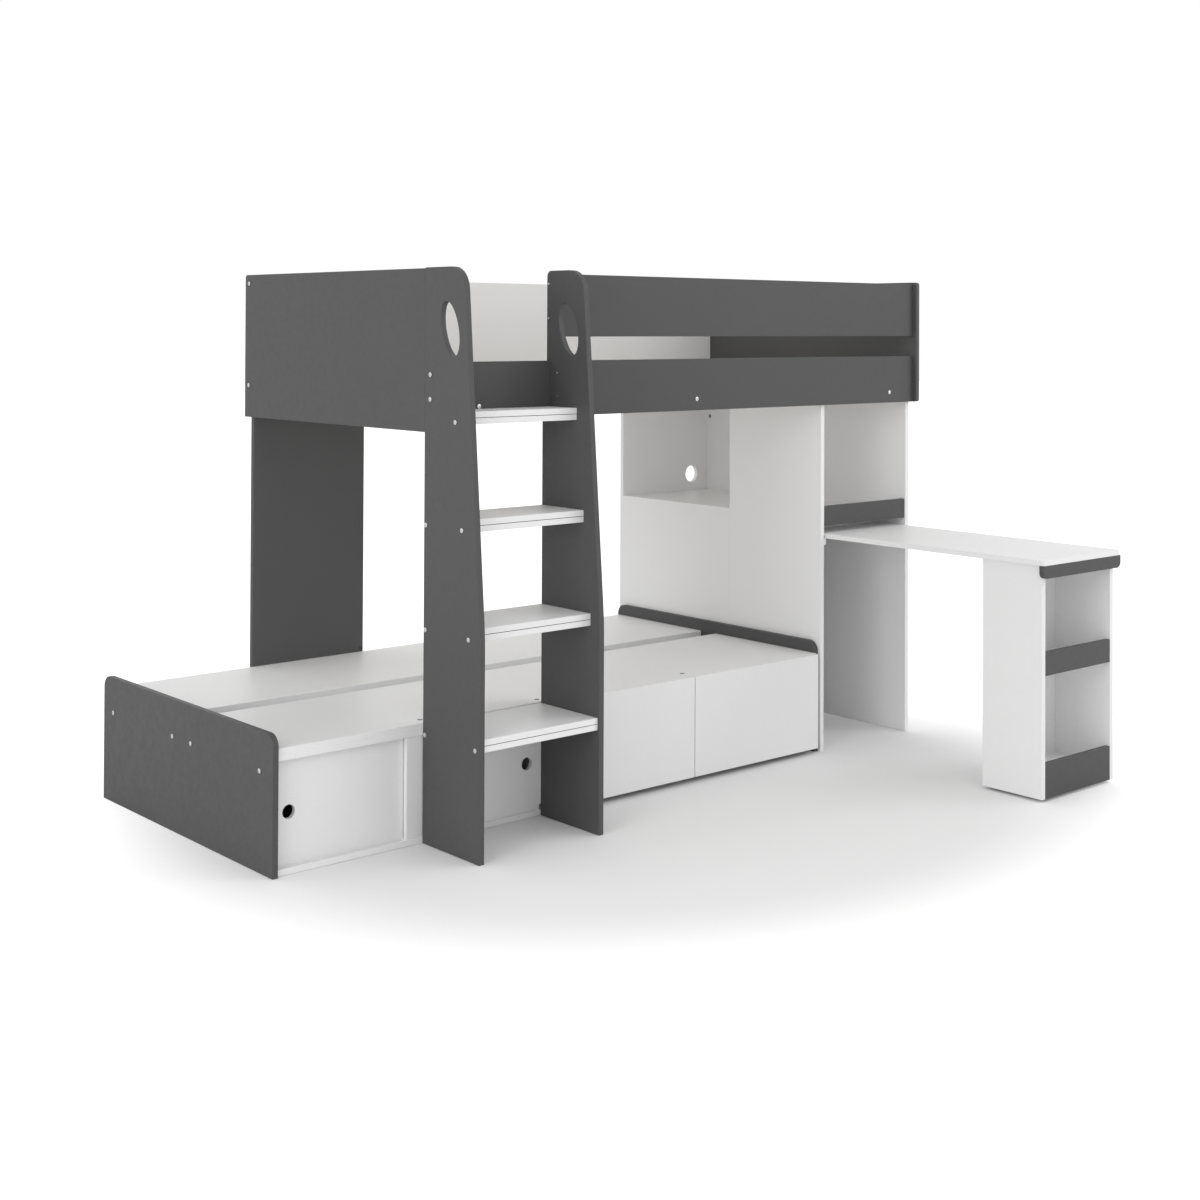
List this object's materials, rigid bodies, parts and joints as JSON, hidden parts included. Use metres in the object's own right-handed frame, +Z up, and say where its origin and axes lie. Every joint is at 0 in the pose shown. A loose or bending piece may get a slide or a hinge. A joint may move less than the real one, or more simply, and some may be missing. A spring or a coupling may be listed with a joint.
{
  "type": "bunk bed",
  "caption": "Bunk bed with an upper bed on end panels and a side ladder, a storage base below, a shelf tower and a desk that pulls out from it",
  "frame": {"origin": "middle of the footprint at rest, on the floor", "axes": "+X along the beds towards the tower, +Y from the ladder side to the wall, +Z up"},
  "size_m": [2.383, 1.752, 1.474],
  "materials": {
    "grey_board": "satin dark grey melamine on board",
    "white_board": "satin white melamine on board",
    "plain_board": "thin white hardboard",
    "pine": "planed softwood, unfinished",
    "steel": "zinc plated",
    "castor_tyre": "moulded"
  },
  "bodies": {
    "frame": {"back_panel": "white_board", "bed_slats": "pine", "carcass_runners": "steel", "corner_blocks": "pine", "cupboard_floor": "white_board", "cupboard_partition": "white_board", "desk_battens": "white_board", "divider_lower_panel": "white_board", "divider_panel": "white_board", "door_stretcher": "white_board", "door_track": "white_board", "drawer_partitions": "white_board", "entry_rail": "grey_board", "fixed_shelf": "white_board", "footboard": "grey_board", "frame_bolts": "steel", "front_platform": "white_board", "guard_rail": "grey_board", "headboard": "grey_board", "left_end_panel": "grey_board", "left_upright": "grey_board", "platform_rails": "white_board", "platform_supports": "white_board", "rear_leg_board": "grey_board", "rear_platform": "white_board", "right_end_panel": "grey_board", "right_upright": "grey_board", "shelf_lipping": "grey_board", "side_rail": "grey_board", "slat_bearers": "pine", "storage_back_board": "white_board", "tower_back_panel": "white_board", "tower_leg_panel": "white_board", "tread_1": "white_board", "tread_2": "white_board", "tread_3": "white_board", "tread_4": "white_board"},
    "left_door": {"left_door": "white_board"},
    "right_door": {"right_door": "white_board"},
    "left_drawer": {"left_drawer_front": "white_board", "left_drawer_sides": "white_board", "left_drawer_back": "white_board", "left_drawer_bottom": "plain_board", "left_drawer_runners": "steel"},
    "right_drawer": {"right_drawer_front": "white_board", "right_drawer_sides": "white_board", "right_drawer_back": "white_board", "right_drawer_bottom": "plain_board", "right_drawer_runners": "steel"},
    "desk": {"desktop": "white_board", "desk_apron": "grey_board", "cabinet_sides": "white_board", "cabinet_back": "white_board", "cabinet_base_shelf": "white_board", "cabinet_mid_shelf": "white_board", "cabinet_mid_bar": "grey_board", "cabinet_base_bar": "grey_board", "castor_housings": "steel"},
    "front_castors": {"front_castor_wheels": "castor_tyre"},
    "rear_castors": {"rear_castor_wheels": "castor_tyre"}
  },
  "joints": [
    {"name": "left_door_slide", "type": "slide", "parent": "frame", "child": "left_door", "axis": [1, 0, 0], "range_m": [0, 0.377]},
    {"name": "right_door_slide", "type": "slide", "parent": "frame", "child": "right_door", "axis": [-1, 0, 0], "range_m": [0, 0.377]},
    {"name": "left_drawer_slide", "type": "slide", "parent": "frame", "child": "left_drawer", "axis": [0, -1, 0], "range_m": [0, 0.3]},
    {"name": "right_drawer_slide", "type": "slide", "parent": "frame", "child": "right_drawer", "axis": [0, -1, 0], "range_m": [0, 0.3]},
    {"name": "desk_slide", "type": "slide", "parent": "frame", "child": "desk", "axis": [0, 1, 0], "range_m": [0, 0.79]},
    {"name": "front_castor_roll", "type": "hinge", "parent": "desk", "child": "front_castors", "pos_m": [0.959, -0.827, 0.014], "axis": [1, 0, 0], "continuous": true},
    {"name": "rear_castor_roll", "type": "hinge", "parent": "desk", "child": "rear_castors", "pos_m": [0.959, -0.691, 0.014], "axis": [1, 0, 0], "continuous": true}
  ],
  "couplings": [
    {"joint": "front_castor_roll", "follows": "desk_slide", "rad_per_m": -71.429},
    {"joint": "rear_castor_roll", "follows": "desk_slide", "rad_per_m": -71.429}
  ]
}
